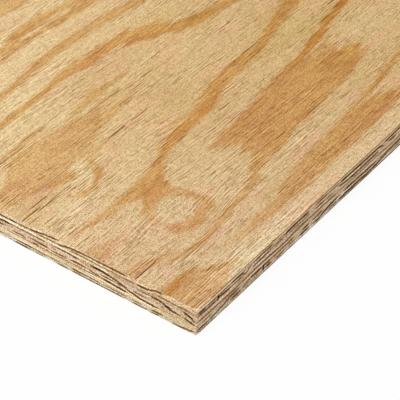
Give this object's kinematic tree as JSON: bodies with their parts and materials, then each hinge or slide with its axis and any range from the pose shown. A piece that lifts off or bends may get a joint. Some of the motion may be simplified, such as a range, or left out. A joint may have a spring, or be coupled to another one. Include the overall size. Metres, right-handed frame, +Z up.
{
  "type": "plywood sheet",
  "caption": "Full-size flat sheet of softwood plywood, veneers glued with crossing grain, square sawn edges, for sheathing, subfloors and general building.",
  "frame": {"origin": "centre of the underside", "axes": "+X along the sheet's length and its face grain, +Y across its width, +Z up through its thickness towards the better face"},
  "size_m": [2.4384, 1.2192, 0.0182],
  "materials": {
    "face_veneer": "bare, lightly sanded, orange-brown latewood figure",
    "crossband": "bare, sawn at the edges",
    "core_ply": "bare, sawn at the edges",
    "back_veneer": "bare, rough peeled, slightly grey"
  },
  "bodies": {
    "root": {"face_veneer": "face_veneer", "upper_crossband": "crossband", "upper_core_ply": "core_ply", "lower_core_ply": "core_ply", "lower_crossband": "crossband", "back_veneer": "back_veneer"}
  },
  "joints": []
}
